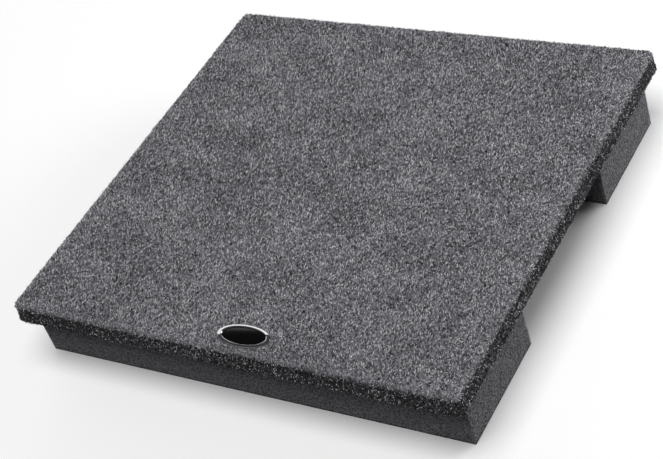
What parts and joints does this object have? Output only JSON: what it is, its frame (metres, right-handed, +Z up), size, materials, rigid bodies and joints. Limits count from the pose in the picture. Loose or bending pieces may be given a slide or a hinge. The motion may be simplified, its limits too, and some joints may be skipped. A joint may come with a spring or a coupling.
{
  "type": "speaker isolation pad",
  "caption": "Carpet-wrapped board on full-width foam risers, standing under a loudspeaker or subwoofer to keep its vibration out of the floor.",
  "frame": {"origin": "on the floor, under the middle of the deck", "axes": "+X along the deck's width to the right, +Y from the badge's edge to the back, +Z up"},
  "size_m": [0.381, 0.3636, 0.0625],
  "materials": {
    "carpet": "needle-punched heather grey carpet, matt, with black, grey and pale fibres",
    "board": "raw engineered wood board",
    "foam": "cut open-cell polyurethane foam, charcoal, matt",
    "staple": "bright galvanised wire",
    "badge_metal": "polished chrome plating",
    "badge_gloss": "black gloss, bare of lettering"
  },
  "bodies": {
    "root": {"carpet_cover": "carpet", "deck_board": "board", "front_riser": "foam", "rear_riser": "foam", "badge_base": "badge_metal", "badge_lens": "badge_gloss", "hem_staple_01": "staple", "hem_staple_02": "staple", "hem_staple_03": "staple", "hem_staple_04": "staple", "hem_staple_05": "staple", "hem_staple_06": "staple", "hem_staple_07": "staple", "hem_staple_08": "staple", "hem_staple_09": "staple", "hem_staple_10": "staple", "hem_staple_11": "staple", "hem_staple_12": "staple", "hem_staple_13": "staple", "hem_staple_14": "staple", "hem_staple_15": "staple", "hem_staple_16": "staple", "hem_staple_17": "staple", "hem_staple_18": "staple", "hem_staple_19": "staple", "hem_staple_20": "staple", "hem_staple_21": "staple", "hem_staple_22": "staple", "hem_staple_23": "staple", "hem_staple_24": "staple"}
  },
  "joints": []
}
